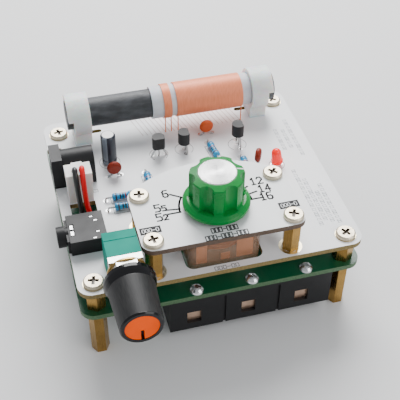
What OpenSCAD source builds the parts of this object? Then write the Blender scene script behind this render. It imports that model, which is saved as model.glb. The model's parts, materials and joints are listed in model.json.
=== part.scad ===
// Medium-wave radio kit on stacked circuit boards, in millimetres.
// +Z is up, +X is to the right of the dial, -Y is the side with the volume knob.
// The origin is the centre of the four leg holes, on the plane the legs rest on.

/* [Circuit boards] */
// Width of both square boards
board_w = 82; // [81:0.5:86]
// Depth of both square boards
board_d = 76.5; // [76:0.5:80]
// Thickness of every board
board_t = 1.6; // [1.4:0.1:1.8]
// Corner radius of both square boards
board_corner_r = 4; // [2:0.5:6]
// Distance between leg centres, left to right
hole_pitch_x = 72.8; // [72:0.2:74]
// Distance between leg centres, front to back
hole_pitch_y = 66; // [65:0.5:67]
// Front edge of the board to the front leg centres
front_inset = 4.2; // [3.8:0.1:4.6]

/* [Stack] */
// Length of the four legs
leg_h = 17; // [15:0.5:20]
// Gap between the two square boards
spacer_h = 7; // [6.5:0.5:8]
// Gap between the upper board and the dial plate
post_h = 10; // [10:0.5:12]
// Width across flats of the legs and the dial posts
leg_af = 4.5; // [4.4:0.1:5]
// Width across flats of the short spacers
spacer_af = 5; // [4.6:0.1:5.5]
// Diameter of every screw head
screw_head_d = 5.7; // [5:0.1:6]
// Thickness of every screw head
screw_head_h = 1.2; // [1:0.1:1.6]

/* [Dial plate] */
// Left and right distance of the dial posts from the centre line
post_x = 19.6; // [19:0.1:20]
// Distance between the front and the rear dial posts
post_pitch_y = 18; // [17:0.5:19]
// Radius of the plate round each post
plate_corner_r = 3.3; // [3:0.1:3.6]
// Radius of the arched rear edge
plate_arch_r = 34; // [33:0.5:40]

/* [Tuner] */
// Distance of the tuning shaft to the right of the centre line
tuner_x = 0.3; // [0:0.1:0.5]
// Width and depth of the clear tuner case
tuner_w = 20.4; // [20:0.1:20.6]
// Play round the case in the upper board
tuner_play = 0.9; // [0.8:0.1:1]
// Moving plates in the tuner, and fixed ones between them
plate_count = 5; // [3:1:5]
// Diameter of the tuning shaft
tuner_shaft_d = 6; // [5.6:0.1:6.2]

/* [Tuning knob] */
// Diameter of the knob's skirt
knob_skirt_d = 18.8; // [18:0.1:19.4]
// Diameter over the finger lobes
knob_lobe_d = 15.2; // [14.8:0.1:15.6]
// Height of the whole knob
knob_h = 11.2; // [10.8:0.1:12]
// Number of finger lobes
knob_lobes = 7; // [6:1:8]
// Diameter of the metal cap
knob_cap_d = 10.5; // [10:0.1:10.8]
// Dial angle of the pointer at rest, anticlockwise from the right
knob_rest_angle = 1; // [0:1:90]

/* [Volume control] */
// Height of the volume shaft above the upper board
pot_axis_h = 6.8; // [6.6:0.1:7]
// Width of the control's body
pot_w = 9.1; // [9:0.1:9.5]
// Diameter of the knob's skirt
vol_skirt_d = 14.2; // [13.6:0.1:14.4]
// Diameter of the knob's face
vol_face_d = 11.3; // [11:0.1:11.6]
// Length of the knob
vol_knob_l = 16.2; // [15.5:0.1:17]

/* [Aerial] */
// Diameter of the ferrite rod
rod_d = 9.2; // [8.8:0.1:9.4]
// Length of the ferrite rod
rod_l = 68; // [66:1:70]
// Height of the rod's axis above the upper board
rod_axis_h = 9.2; // [9:0.1:9.6]
// Distance of each bracket's middle from the centre line
bracket_x = 29.1; // [28.8:0.1:29.4]

/* [Battery holder] */
// Distance between neighbouring cells
cell_pitch = 16.3; // [16.2:0.1:16.5]
// Diameter of a bay, for one AA cell
bay_w = 14.9; // [14.7:0.1:15]
// Clear length between the two end walls of a bay
bay_l = 53.5; // [53:0.5:54]
// Height of the holder
holder_h = 13.6; // [13:0.2:14.4]

/* [Leads] */
// Diameter of the battery wires
wire_d = 1.6; // [1.4:0.1:1.7]
// Diameter of the bare component leads
lead_d = 0.6; // [0.5:0.05:0.7]

/* [Hidden] */
$fn = 48;
EPS = 0.01;

// heights of the stack
lower_z = leg_h;
lower_top = lower_z + board_t;
upper_z = lower_top + spacer_h;
top_z = upper_z + board_t;
dial_z = top_z + post_h;
dial_top = dial_z + board_t;

// plan of the boards
leg_x = hole_pitch_x / 2;
leg_y = hole_pitch_y / 2;
board_front = -leg_y - front_inset;
board_rear = board_front + board_d;
shank_d = 2.9;
bore_d = 3.0;
tap_d = 2.5;
clear_d = 3.2;

// dial plate
post_front_y = -leg_y - 0.2;
post_rear_y = post_front_y + post_pitch_y;
arch_y = post_rear_y - sqrt(pow(plate_arch_r - plate_corner_r, 2) - pow(post_x, 2));
DIAL_POSTS = [for (sx = [-1, 1], y = [post_front_y, post_rear_y]) [sx * post_x, y]];
LEGS = [for (sx = [-1, 1], sy = [-1, 1]) [sx * leg_x, sy * leg_y]];

// tuner
tuner_y = -23.85;
tuner_wall = 0.8;
tuner_bottom = top_z - 1.4;
tuner_h = dial_z - tuner_bottom;
stack_z = tuner_bottom + 3.2;
stack_pitch = 1.1;
plate_t = 0.25;
cut_w = tuner_w + 2 * tuner_play;
TUNER_SCREWS = [[-6.5, 0], [6.5, 0]];
TRIMMER_X = [-5.6, 5.6];
trimmer_y = 5.6;

// tuning knob
knob_z = dial_top + 1.2;
knob_top = knob_z + knob_h;
skirt_h = 2.8;
lobe_r = knob_lobe_d / 2;
flute_r = 2.5;
shaft_top = knob_z + 8.2;
cap_t = 0.8;

// volume control, with its shaft along Y
pot_x = -27.8;
pot_z = top_z + pot_axis_h;
pot_h = 11.2;
pot_rear = -26.1;
pot_l = 9;
pot_front = pot_rear - pot_l;
cover_t = 2.2;
cover_front = pot_front - cover_t;
washer_t = 0.5;
nut_t = 2.2;
nut_front = cover_front - washer_t - nut_t;
vol_back = nut_front - 0.5;
vol_front = vol_back - vol_knob_l;
bush_d = 6.8;
vol_shaft_d = 5;

// jacks and the battery plug on the left side
audio_x0 = -40.4;
audio_l = 10.4;
audio_y = -16.15;
audio_w = 11.1;
audio_h = 5.1;
audio_axis_h = 2.6;
dc_x0 = -41.2;
dc_l = 12.8;
dc_y = 11.4;
dc_w = 8;
dc_h = 10.5;
dc_axis_h = 6.4;
plug_x = -34.2;
plug_y = 2.5;
plug_w = 7.6;
plug_d = 5.8;
plug_h = 10.8;
slot_x0 = -38;
slot_x1 = -30.4;
slot_y0 = -10.4;
slot_y1 = -0.8;

// aerial, with its rod along X
rod_x = 0.4;
rod_y = 30.4;
rod_z = top_z + rod_axis_h;
sleeve_x = [-6.4, 26.3];
main_x = [1.5, 23.4];
small_x = [-2.7, -0.2];
sleeve_d = rod_d + 1.2;
winding_d = sleeve_d + 0.8;
bracket_w = 5.4;
bracket_d = 8.4;
hood_r = 6.7;
hood_out = 1.6;

// battery holder under the lower board
holder_x = 8.1;
end_wall = 2.4;
holder_l = bay_l + 2 * end_wall;
holder_y0 = -36.3;
holder_w = 2 * cell_pitch + bay_w + 1.4;
roof_t = 1.2;
cell_z = lower_z - roof_t - bay_w / 2;
BAYS = [for (i = [-1, 0, 1]) holder_x + i * cell_pitch];
bay_y0 = holder_y0 + end_wall;
bay_y1 = bay_y0 + bay_l;

// transistors: [x, y] of the middle pad, the angle of the flat face and the body's height
TRANSISTORS = [[-7.2, 14.8, 0, 3], [1.7, 15.9, 90, 2.8], [18.8, 13.9, 90, 4.2]];
// disc capacitors: [x, y], the angle of the disc's plane and the height of its centre
DISCS = [[-22.6, 8.5, 0, 3.4], [10.1, 21.6, 2, 3.2], [21.6, 2.8, 62, 3.8]];
disc_pitch = 4;
// resistors: [x, y] of the middle and the angle of the body
RESISTORS = [[-22.2, -2.1, 0], [-22.2, -6.4, 0], [9.8, 11.9, 96], [-13.2, 2.8, 90], [17.6, 2.4, 90]];
resistor_pitch = 10.4;
resistor_d = 2.3;
resistor_l = 6.4;
electro = [-22.9, 15.4];
electro_d = 4.6;
electro_h = 10.8;
led_pos = [27.4, 1.2];
led_d = 3;

// battery wires: out of the plug, down through the slot, then across to the lower board
BLACK_ROUTE = [[-35.2, 1.4, 35.5], [-35.2, 1.4, 38], [-35.25, 0.2, 39.4], [-35.3, -1.4, 38.6],
    [-35.3, -2.6, 36], [-35.2, -3.4, 32.4], [-35, -4.2, 28.6], [-34.7, -5, 25],
    [-33.4, -6.4, 22.2], [-31, -7.8, 21], [-27.6, -8.4, 21], [-24.4, -8.4, 21.2],
    [-23, -8.4, 20.6], [-23, -8.4, 19.6]];
RED_ROUTE = [[-33.1, 1.4, 35.5], [-33.1, 1.4, 38], [-33.15, 0.2, 39.6], [-33.3, -1.8, 38.4],
    [-33.35, -3, 35.4], [-33.3, -3.8, 31.8], [-33.1, -4.6, 28.6], [-32.5, -5.8, 26.2],
    [-31.2, -6.4, 24.4], [-29.4, -5.8, 23.4], [-26.4, -4.2, 22.6], [-24.2, -3.6, 21.8],
    [-23, -3.6, 20.8], [-23, -3.6, 19.6]];
WIRE_PADS = [[-23, -8.4], [-23, -3.6]];

// ---- shared shapes ----

module rounded_square(w, d, r) {
    square([w - 2 * r, d], center = true);
    square([w, d - 2 * r], center = true);
    for (sx = [-1, 1], sy = [-1, 1])
        translate([sx * (w / 2 - r), sy * (d / 2 - r)])
            circle(r);
}

module board_outline() {
    translate([0, (board_front + board_rear) / 2])
        rounded_square(board_w, board_d, board_corner_r);
}

module hex_post(af, h) {
    cylinder(d = af / cos(30), h = h, $fn = 6);
}

// A flat-headed cross-recess screw whose head rests on z = 0 and whose shank points down
module cross_screw(head_d, head_h, shank, shank_l, recess = 3, recess_h = 0.8) {
    difference() {
        union() {
            cylinder(d = head_d, h = head_h * 0.7);
            translate([0, 0, head_h * 0.7])
                cylinder(d1 = head_d, d2 = head_d - 0.8, h = head_h * 0.3);
            translate([0, 0, -shank_l])
                cylinder(d = shank, h = shank_l + EPS);
        }
        for (turn = [0, 90])
            rotate(turn)
                translate([-recess / 2, -0.45, head_h - recess_h])
                    cube([recess, 0.9, 1]);
    }
}

function unit(v) = v / norm(v);
function along(p, i) = unit(p[min(i + 1, len(p) - 1)] - p[max(i - 1, 0)]);

// The rings of a round wire of diameter d along the points p; ref is never along the wire
function wire_rings(p, d, sides, ref) =
    [for (i = [0:len(p) - 1])
        let (t = along(p, i), s = unit(ref - (ref * t) * t), u = cross(t, s))
        for (k = [0:sides - 1])
            p[i] + d / 2 * (cos(360 * k / sides) * s + sin(360 * k / sides) * u)];

// A round wire swept along the points p, closed at both ends
module tube(p, d, sides = 8, ref = [1, 0, 0]) {
    last = len(p) - 1;
    sheath = [for (i = [0:last - 1], k = [0:sides - 1])
        let (n = (k + 1) % sides)
        [i * sides + k, (i + 1) * sides + k, (i + 1) * sides + n, i * sides + n]];
    ends = [[for (k = [0:sides - 1]) k], [for (k = [sides - 1:-1:0]) last * sides + k]];
    polyhedron(wire_rings(p, d, sides, ref), concat(sheath, ends), convexity = 10);
}

// The end of a lead that goes down through the upper board at the point p
module board_pin(p, d = lead_d, from_z = top_z + 0.3) {
    translate([p[0], p[1], upper_z - 1.3])
        cylinder(d = d, h = from_z - upper_z + 1.3, $fn = 16);
}

// A solid of revolution about an axis along -Y, starting at the point at
module spin_forward(at) {
    translate(at)
        rotate([90, 0, 0])
            children();
}

// A solid of revolution about an axis along +X, starting at the point at
module spin_right(at) {
    translate(at)
        rotate([0, 90, 0])
            children();
}

// ---- places of the leads in the upper board ----

function turned(v, a) = [v[0] * cos(a) - v[1] * sin(a), v[0] * sin(a) + v[1] * cos(a)];
function pads_of(part, angle, pitch, n) =
    [for (k = [0:n - 1]) [part[0], part[1]] + turned([(k - (n - 1) / 2) * pitch, 0], angle)];
TRANSISTOR_PADS = [for (t = TRANSISTORS) each pads_of(t, t[2], 2.35, 3)];
DISC_PADS = [for (c = DISCS) each pads_of(c, c[2], disc_pitch, 2)];
RESISTOR_PADS = [for (r = RESISTORS) each pads_of(r, r[2], resistor_pitch, 2)];
CAN_PADS = pads_of(electro, 0, 2, 2);
LED_PADS = pads_of(led_pos, 0, 2.54, 2);
HEADER_PADS = pads_of([plug_x, plug_y], 0, 2.5, 2);
POT_PADS = pads_of([pot_x, pot_rear - 1.4], 0, 2.5, 3);
JACK_PADS = [for (sx = [2.5, 8], sy = [-1, 1]) [audio_x0 + sx, audio_y + sy * 4.2]];
DC_PADS = [[dc_x0 + 6, dc_y - 2.6], [dc_x0 + 6, dc_y + 2.6], [dc_x0 + 11.4, dc_y]];
BATTERY_PINS = [for (x = BAYS, y = [bay_y0 - end_wall / 2, bay_y1 + end_wall / 2]) [x, y]];

// ---- boards ----

module lower_board() {
    color("darkgreen")
        translate([0, 0, lower_z])
            linear_extrude(board_t)
                difference() {
                    board_outline();
                    for (p = LEGS)
                        translate(p) circle(d = clear_d);
                    for (p = BATTERY_PINS)
                        translate(p) circle(d = 1.2, $fn = 24);
                }
}

module dc_notch() {
    translate([-board_w / 2 - 1, dc_y - dc_w / 2 - 0.2])
        square([4.6, 19]);
    translate([-board_w / 2 - 1, dc_y - dc_w / 2 + 0.8])
        square([5.6, 17]);
    for (y = [dc_y - dc_w / 2 + 0.8, dc_y - dc_w / 2 + 17.8])
        translate([-board_w / 2 + 3.6, y])
            circle(r = 1);
}

module upper_board() {
    color("whitesmoke")
        translate([0, 0, upper_z])
            linear_extrude(board_t)
                difference() {
                    board_outline();
                    for (p = concat(LEGS, DIAL_POSTS))
                        translate(p) circle(d = clear_d);
                    translate([tuner_x, tuner_y])
                        rounded_square(cut_w, cut_w, 2.3);
                    translate([slot_x0, slot_y0])
                        square([slot_x1 - slot_x0, slot_y1 - slot_y0]);
                    dc_notch();
                    for (sx = [-1, 1])
                        translate([sx * 24.6, rod_y + 1.6])
                            rounded_square(4, 1.6, 0.79);
                    for (p = concat(TRANSISTOR_PADS, DISC_PADS, RESISTOR_PADS, CAN_PADS,
                                    LED_PADS))
                        translate(p) circle(d = lead_d + 0.2, $fn = 16);
                    for (p = concat(HEADER_PADS, POT_PADS, JACK_PADS, DC_PADS))
                        translate(p) circle(d = 1.2, $fn = 16);
                }
}

module dial_outline() {
    half = post_x + plate_corner_r;
    rise = post_rear_y - arch_y;
    translate([-half, post_front_y])
        square([2 * half, post_pitch_y]);
    translate([-post_x, post_front_y - plate_corner_r])
        square([2 * post_x, post_pitch_y]);
    for (p = DIAL_POSTS)
        translate(p) circle(r = plate_corner_r);
    intersection() {
        translate([0, arch_y]) circle(r = plate_arch_r, $fn = 96);
        polygon([[-post_x, post_rear_y], [post_x, post_rear_y],
                 [2 * post_x, arch_y + 2 * rise], [-2 * post_x, arch_y + 2 * rise]]);
    }
}

module dial_plate() {
    color("whitesmoke")
        translate([0, 0, dial_z])
            linear_extrude(board_t)
                difference() {
                    dial_outline();
                    for (p = DIAL_POSTS)
                        translate(p) circle(d = clear_d);
                    translate([tuner_x, tuner_y]) {
                        circle(d = tuner_shaft_d + 3);
                        for (s = TUNER_SCREWS)
                            translate(s) circle(d = 2.7, $fn = 24);
                    }
                }
}

// ---- legs, spacers, posts and screws ----

module legs() {
    color("darkgoldenrod")
        for (p = LEGS)
            translate(p)
                difference() {
                    hex_post(leg_af, leg_h);
                    translate([0, 0, -1]) cylinder(d = tap_d, h = leg_h - 4);
                    translate([0, 0, leg_h - 5.1]) cylinder(d = clear_d, h = 6);
                }
}

module board_spacers() {
    color("darkgoldenrod")
        for (p = LEGS)
            translate([p[0], p[1], lower_top])
                difference() {
                    union() {
                        rotate(30) hex_post(spacer_af, spacer_h);
                        translate([0, 0, -board_t - 4.5])
                            cylinder(d = shank_d, h = board_t + 4.5 + EPS);
                    }
                    translate([0, 0, spacer_h - 5.5]) cylinder(d = clear_d, h = 6);
                }
}

module board_screws() {
    color("lightgray")
        for (i = [0:len(LEGS) - 1])
            translate([LEGS[i][0], LEGS[i][1], top_z])
                rotate(-14 + 23 * i)
                    cross_screw(screw_head_d, screw_head_h, shank_d, board_t + 4);
}

module dial_posts() {
    color("darkgoldenrod")
        for (p = DIAL_POSTS)
            translate([p[0], p[1], top_z])
                difference() {
                    rotate(12) hex_post(leg_af, post_h);
                    translate([0, 0, -1]) cylinder(d = bore_d, h = post_h + 2);
                }
}

module dial_post_screws() {
    color("lightgray")
        for (p = DIAL_POSTS)
            translate([p[0], p[1], upper_z])
                mirror([0, 0, 1])
                    cross_screw(screw_head_d, screw_head_h, shank_d, board_t + 4);
}

module dial_screws() {
    color("lightgray")
        for (i = [0:len(DIAL_POSTS) - 1])
            translate([DIAL_POSTS[i][0], DIAL_POSTS[i][1], dial_top])
                rotate(8 - 17 * i)
                    cross_screw(screw_head_d, screw_head_h, shank_d, board_t + 4.4);
}

// ---- tuner ----

module at_tuner(z = 0) {
    translate([tuner_x, tuner_y, z])
        children();
}

module tuner_case() {
    roof_t = 2;
    color("gainsboro", 0.5)
        at_tuner(tuner_bottom)
            difference() {
                linear_extrude(tuner_h)
                    rounded_square(tuner_w, tuner_w, 2);
                translate([0, 0, 1])
                    linear_extrude(tuner_h - 1 - roof_t)
                        rounded_square(tuner_w - 2 * tuner_wall, tuner_w - 2 * tuner_wall, 1.2);
                translate([0, 0, 4]) cylinder(d = tuner_shaft_d + 0.1, h = tuner_h);
                translate([0, 0, -1]) cylinder(d = 3.1, h = 4);
                for (s = TUNER_SCREWS)
                    translate([s[0], s[1], 4]) cylinder(d = 2.46, h = tuner_h, $fn = 24);
                for (x = TRIMMER_X)
                    translate([x, trimmer_y, -1]) cylinder(d = 3.5, h = 3);
            }
}

// One level of fixed plate: a rectangle with the shaft's half circle cut out
module tuner_fixed_plates() {
    color("peru")
        at_tuner(stack_z) {
            for (i = [0:plate_count])
                translate([0, 0, i * stack_pitch])
                    linear_extrude(plate_t)
                        difference() {
                            translate([-8.8, 0.4]) square([17.6, 8.4]);
                            circle(r = 4.4);
                        }
            for (sx = [-1, 1])
                translate([sx * 8, 8, -0.6])
                    cylinder(d = 1.4, h = 6.8, $fn = 24);
        }
}

module tuner_moving_plates() {
    color("peru")
        at_tuner(stack_z + stack_pitch / 2)
            rotate(knob_rest_angle) {
                for (i = [0:plate_count - 1])
                    translate([0, 0, i * stack_pitch])
                        linear_extrude(plate_t)
                            difference() {
                                intersection() {
                                    circle(r = 7.8);
                                    translate([-9, -9]) square([18, 9]);
                                }
                                circle(d = tuner_shaft_d + 0.04);
                            }
                difference() {
                    cylinder(r = 3.7, h = (plate_count - 1) * stack_pitch + plate_t);
                    translate([0, 0, -1]) cylinder(d = tuner_shaft_d + 0.04, h = 9);
                }
            }
}

module tuner_shaft() {
    color("silver")
        at_tuner()
            difference() {
                union() {
                    translate([0, 0, tuner_bottom + 0.2]) cylinder(d = 3, h = 2.2);
                    translate([0, 0, tuner_bottom + 2.3])
                        cylinder(d = tuner_shaft_d, h = shaft_top - tuner_bottom - 2.3);
                }
                translate([0, 0, shaft_top - 5.5]) cylinder(d = 2.6, h = 6, $fn = 24);
            }
}

// The copper strips that carry the two sections' contacts up inside the clear case
module tuner_contact_strips() {
    inner = tuner_w / 2 - tuner_wall - 0.05;
    color("sandybrown")
        at_tuner(tuner_bottom + 1.2) {
            for (strip = [[-8.1, 3], [3.4, 4.7]])
                translate([strip[0], -inner, 0])
                    cube([strip[1], 0.3, 7.6]);
            translate([-1.1, -inner, 0]) cube([2.6, 0.3, 2.4]);
        }
}

module trimmer(x) {
    color("goldenrod")
        at_tuner(tuner_bottom)
            translate([x, trimmer_y, 0])
                difference() {
                    union() {
                        translate([0, 0, 0.1]) cylinder(d = 3.4, h = 1.4);
                        translate([0, 0, 1.4]) cylinder(d = 1.6, h = 1);
                    }
                    translate([-2, -0.3, 0]) cube([4, 0.6, 0.6]);
                }
}

module tuner_trimmer_left() {
    trimmer(TRIMMER_X[0]);
}

module tuner_trimmer_right() {
    trimmer(TRIMMER_X[1]);
}

module tuner_screws() {
    color("silver")
        at_tuner(dial_top)
            for (s = TUNER_SCREWS)
                translate(s)
                    cross_screw(4.2, 0.8, 2.4, 3.3, 2.4, 0.5);
}

module tuning_knob() {
    rim = knob_skirt_d / 2;
    color("green")
        at_tuner(knob_z)
            rotate(knob_rest_angle)
                difference() {
                    union() {
                        rotate_extrude($fn = 96)
                            polygon([[0, 0], [rim - 0.4, 0], [rim, 0.4], [rim, 1.3], [rim - 0.3, 1.7],
                                     [rim - 1, 2.2], [lobe_r - 0.6, skirt_h], [0, skirt_h]]);
                        rotate_extrude($fn = 96)
                            polygon([[0, 1], [lobe_r, 1], [lobe_r, knob_h - 0.9],
                                     [lobe_r - 0.2, knob_h - 0.6], [knob_cap_d / 2 + 0.2, knob_h],
                                     [0, knob_h]]);
                    }
                    for (i = [0:knob_lobes - 1])
                        rotate((i + 0.5) * 360 / knob_lobes)
                            translate([lobe_r + 1.1, 0, skirt_h - 0.5])
                                cylinder(r = flute_r, h = knob_h);
                    translate([0, 0, -1]) cylinder(d = 16, h = 2);
                    translate([0, 0, -1]) cylinder(d = tuner_shaft_d + 0.06, h = 9.2);
                    cylinder(d = 2.8, h = knob_h + 1, $fn = 24);
                    translate([0, 0, 9]) cylinder(d = 5.4, h = 3);
                    translate([0, 0, knob_h - cap_t]) cylinder(d = knob_cap_d + 0.06, h = 2);
                    // pointer line: across the top, down the lobe and over the skirt
                    translate([knob_cap_d / 2 - 0.1, -0.3, knob_h - 0.8]) cube([4, 0.6, 2]);
                    translate([lobe_r - 0.25, -0.3, skirt_h - 1]) cube([1, 0.6, knob_h]);
                    translate([lobe_r + 0.5, -0.3, 1.9]) cube([3, 0.6, 2]);
                }
}

module tuning_knob_cap() {
    color("silver")
        at_tuner(knob_top - cap_t)
            rotate_extrude($fn = 96)
                polygon([[0, 0], [knob_cap_d / 2, 0], [knob_cap_d / 2, cap_t],
                         [knob_cap_d / 2 - 0.15, cap_t + 0.1], [0, cap_t + 0.1]]);
}

module tuning_knob_screw() {
    color("dimgray")
        at_tuner(knob_z + 9)
            cross_screw(5, 1.2, 2.5, 5.4, 2.6, 0.7);
}

// ---- volume control ----

module pot_body() {
    color("mediumaquamarine")
        difference() {
            translate([pot_x - pot_w / 2, pot_front, top_z])
                cube([pot_w, pot_l, pot_h]);
            spin_forward([pot_x, pot_front + 6.5, pot_z]) cylinder(d = 8, h = 7);
            // shallow mould line across the top
            translate([pot_x - pot_w, pot_front + 5.4, top_z + pot_h - 0.12])
                cube([2 * pot_w, 0.5, 1]);
        }
}

module pot_track() {
    color("black")
        spin_forward([pot_x, pot_front + 6.4, pot_z])
            difference() {
                cylinder(d = 7.9, h = 0.6);
                translate([0, 0, -1]) cylinder(d = 3.4, h = 3);
            }
}

module pot_wiper() {
    color("gold")
        spin_forward([pot_x, pot_front + 4.6, pot_z])
            difference() {
                union() {
                    cylinder(d = 7, h = 0.8);
                    translate([0, -2.7, -0.8]) cylinder(d = 0.9, h = 1, $fn = 24);
                }
                translate([0, 0, -2]) cylinder(d = 3.04, h = 4);
            }
}

module pot_cover() {
    color("silver")
        difference() {
            translate([pot_x - pot_w / 2, cover_front, top_z + 0.3])
                cube([pot_w, cover_t, pot_h - 0.4]);
            spin_forward([pot_x, pot_front + 1, pot_z]) cylinder(d = bush_d + 0.04, h = 9);
        }
}

module pot_bush() {
    color("silver")
        spin_forward([pot_x, pot_front + 0.9, pot_z])
            difference() {
                union() {
                    cylinder(d = 7.8, h = 0.8);
                    cylinder(d = bush_d, h = 0.9 + pot_front - nut_front + 1.2);
                }
                translate([0, 0, -1]) cylinder(d = vol_shaft_d + 0.1, h = 20);
            }
}

module pot_washer() {
    color("goldenrod")
        spin_forward([pot_x, cover_front, pot_z])
            difference() {
                cylinder(d = 10.8, h = washer_t);
                translate([0, 0, -1]) cylinder(d = bush_d + 0.2, h = 3);
            }
}

module pot_nut() {
    color("silver")
        spin_forward([pot_x, cover_front - washer_t, pot_z])
            difference() {
                cylinder(d = 9.6 / cos(30), h = nut_t, $fn = 6);
                translate([0, 0, -1]) cylinder(d = bush_d + 0.04, h = 5);
            }
}

module pot_shaft() {
    color("gray")
        spin_forward([pot_x, pot_front + 5.4, pot_z]) {
            cylinder(d = 3, h = 2.2);
            translate([0, 0, 2.1])
                cylinder(d = vol_shaft_d, h = pot_front + 5.4 - 2.1 - vol_front - 6);
        }
}

module pot_pins() {
    color("silver")
        for (p = POT_PADS)
            board_pin(p, 0.9, top_z);
}

module volume_knob() {
    skirt_r = vol_skirt_d / 2;
    face_r = vol_face_d / 2;
    color([0.2, 0.2, 0.2])
        spin_forward([pot_x, vol_back, pot_z])
            difference() {
                rotate_extrude($fn = 96)
                    polygon([[0, 0], [skirt_r - 0.3, 0], [skirt_r, 0.3], [skirt_r, 1.4],
                             [skirt_r - 0.3, 2.4], [skirt_r - 0.65, 3.1], [skirt_r - 0.8, 3.4],
                             [face_r + 0.05, vol_knob_l - 0.4], [face_r - 0.3, vol_knob_l],
                             [0, vol_knob_l]]);
                translate([0, 0, -1]) cylinder(r = 4.6, h = 3.2);
                translate([0, 0, -1]) cylinder(d = vol_shaft_d + 0.06, h = 1 + vol_knob_l - 5.8);
                translate([0, 0, vol_knob_l - 1.2]) cylinder(r = face_r - 1.15, h = 2);
            }
}

module volume_knob_cap() {
    cap_r = vol_face_d / 2 - 1.18;
    color("orangered")
        spin_forward([pot_x, vol_front + 1.2, pot_z])
            difference() {
                cylinder(r = cap_r, h = 1.05);
                translate([-0.45, -cap_r - 1, -1]) cube([0.9, cap_r, 4]);
            }
}

// ---- jacks and battery plug ----

// Small metal tabs that show in the top of the audio jack: [x, y, width, depth]
AUDIO_TABS = [[0.5, -1.8, 1.1, 1.8], [0.5, 0.6, 1.1, 1.8], [6.5, 3.7, 1.2, 0.5], [7.5, 2, 1.2, 0.6],
    [7.5, -2.6, 1.2, 0.6], [6.3, -4.9, 1.2, 0.6]];

module audio_jack_body() {
    color([0.25, 0.25, 0.25])
        translate([audio_x0, audio_y, top_z])
            difference() {
                union() {
                    translate([0, -audio_w / 2, 0]) cube([audio_l, audio_w, audio_h]);
                    translate([-0.7, -4.4, 0]) cube([1, 8.8, audio_h - 0.5]);
                    spin_right([-3.2, 0, audio_axis_h]) cylinder(d = 6, h = 2.3);
                    spin_right([-1, 0, audio_axis_h]) cylinder(d = 5, h = 1.1);
                }
                spin_right([-4, 0, audio_axis_h]) cylinder(d = 3.6, h = 12);
                for (t = AUDIO_TABS)
                    translate([t[0], t[1] - t[3] / 2, audio_h - 0.35]) cube([t[2], t[3], 1]);
                // shallow pocket round the two front tabs
                translate([0.3, -2.9, audio_h - 0.35]) cube([1.5, 4.6, 1]);
            }
}

module audio_jack_contacts() {
    color("silver") {
        for (t = AUDIO_TABS)
            translate([audio_x0 + t[0] + 0.15, audio_y + t[1] - t[3] / 2 + 0.12, top_z + audio_h - 0.35])
                cube([t[2] - 0.3, t[3] - 0.24, 0.3]);
        for (p = JACK_PADS)
            board_pin(p, 1, top_z);
    }
}

module dc_jack_body() {
    color([0.2, 0.2, 0.2])
        translate([dc_x0, dc_y, top_z])
            difference() {
                union() {
                    translate([0, -dc_w / 2, -1.3]) cube([3.2, dc_w, dc_h + 1.3]);
                    translate([3, -dc_w / 2, 0]) cube([dc_l - 3, dc_w, dc_axis_h]);
                    spin_right([3, 0, dc_axis_h]) cylinder(d = dc_w, h = dc_l - 3);
                }
                spin_right([-1, 0, dc_axis_h - 0.6]) cylinder(d = 6, h = 11);
            }
}

module dc_jack_pin() {
    color("silver")
        spin_right([dc_x0 + 1.4, dc_y, top_z + dc_axis_h - 0.6])
            cylinder(d = 2, h = 8.6);
}

module dc_jack_contacts() {
    color("silver") {
        for (p = DC_PADS)
            board_pin(p, 1, top_z);
        // side spring, lying against the lower wall of the socket
        translate([dc_x0 + 3, dc_y - 0.8, top_z + dc_axis_h - 3.5])
            cube([6.6, 1.6, 0.3]);
    }
}

module battery_header() {
    color("ivory")
        translate([plug_x, plug_y, top_z])
            difference() {
                translate([-plug_w / 2 + 0.2, -plug_d / 2, 0]) cube([plug_w - 0.4, plug_d, 7]);
                translate([-plug_w / 2 + 1, -plug_d / 2 + 0.8, 1]) cube([plug_w - 2, plug_d - 1.6, 7]);
            }
}

module battery_plug() {
    color("ivory")
        difference() {
            translate([plug_x, plug_y, top_z]) {
                translate([-plug_w / 2, -plug_d / 2 - 0.3, 7.05])
                    cube([plug_w, plug_d - 0.4, plug_h - 7.05]);
                translate([-1.6, plug_d / 2 - 1, 7.05]) cube([3.2, 0.9, plug_h - 7.05]);
                translate([-plug_w / 2 + 1.1, -plug_d / 2 + 0.9, 1.1])
                    cube([plug_w - 2.2, plug_d - 1.8, 6]);
            }
            for (p = [BLACK_ROUTE[0], RED_ROUTE[0]])
                translate(p) cylinder(d = wire_d + 0.3, h = 5);
        }
}

module black_wire() {
    color([0.1, 0.1, 0.1])
        tube(BLACK_ROUTE, wire_d, 8, [1, 1, 0]);
}

module red_wire() {
    color("crimson")
        tube(RED_ROUTE, wire_d, 8, [1, 1, 0]);
}

// ---- parts on the upper board ----

module electrolytic_capacitor() {
    r = electro_d / 2;
    color("midnightblue")
        translate([electro[0], electro[1], top_z + 0.3])
            rotate_extrude($fn = 64)
                polygon([[0, 0], [r - 0.5, 0], [r, 0.4], [r, 1.3], [r - 0.35, 1.7], [r, 2.1],
                         [r, electro_h - 0.5], [r - 0.4, electro_h], [0, electro_h]]);
}

module disc_capacitor(i) {
    c = DISCS[i];
    color("firebrick")
        translate([c[0], c[1], top_z + c[3]])
            rotate(c[2])
                rotate([90, 0, 0])
                    translate([0, 0, -0.9])
                        rotate_extrude() {
                            square([1.35, 1.8]);
                            translate([1.35, 0.9])
                                intersection() {
                                    circle(r = 0.9);
                                    translate([0, -1]) square(2);
                                }
                        }
}

module disc_capacitor_1() {
    disc_capacitor(0);
}

module disc_capacitor_2() {
    disc_capacitor(1);
}

module disc_capacitor_3() {
    disc_capacitor(2);
}

module transistor(i) {
    t = TRANSISTORS[i];
    color([0.15, 0.15, 0.15])
        translate([t[0], t[1], top_z + t[3]])
            rotate(t[2])
                linear_extrude(4.2)
                    intersection() {
                        translate([0, 0.4]) circle(r = 2);
                        translate([-3, -1]) square([6, 5]);
                    }
}

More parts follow.
